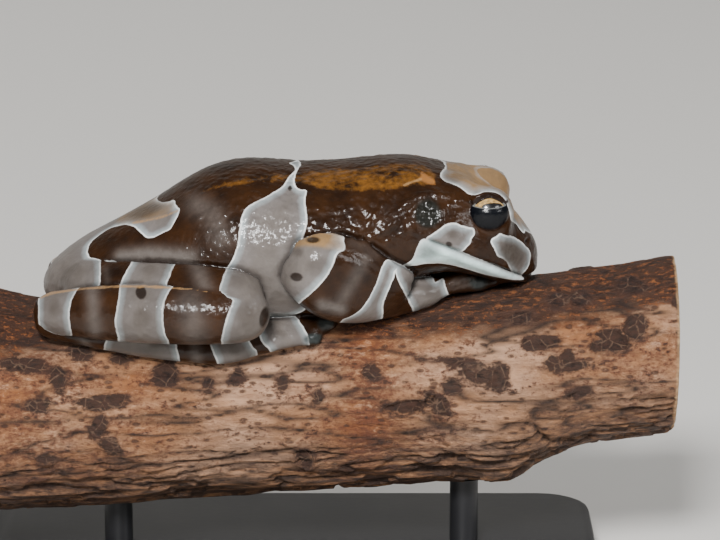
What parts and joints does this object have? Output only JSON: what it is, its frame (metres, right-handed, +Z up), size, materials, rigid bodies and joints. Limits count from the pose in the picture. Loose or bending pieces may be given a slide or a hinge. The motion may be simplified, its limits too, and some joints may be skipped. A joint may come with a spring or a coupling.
{
  "type": "amazon milk frog model",
  "caption": "Life-size banded tree frog crouched along a short cut length of branch, held by two rods on a flat base.",
  "frame": {"origin": "centre of the base's underside, on the floor", "axes": "+X the way the frog faces, +Y its left side, +Z up"},
  "size_m": [0.118, 0.056, 0.0671],
  "materials": {
    "skin": "moist skin, dark brown with pale grey bands edged in white",
    "eye": "wet, gold iris with a black pupil",
    "bark": "rough reddish brown bark",
    "stand": "satin black"
  },
  "bodies": {
    "root": {"head": "skin", "torso": "skin", "hips": "skin", "thigh_right": "skin", "thigh_left": "skin", "shank_right": "skin", "shank_left": "skin", "foot_right": "skin", "foot_left": "skin", "upper_arm_right": "skin", "upper_arm_left": "skin", "forearm_right": "skin", "forearm_left": "skin", "hand_right": "skin", "hand_left": "skin", "eye_right": "eye", "eye_left": "eye", "perch": "bark", "stand_base": "stand", "stand_rod_front": "stand", "stand_rod_rear": "stand"}
  },
  "joints": []
}
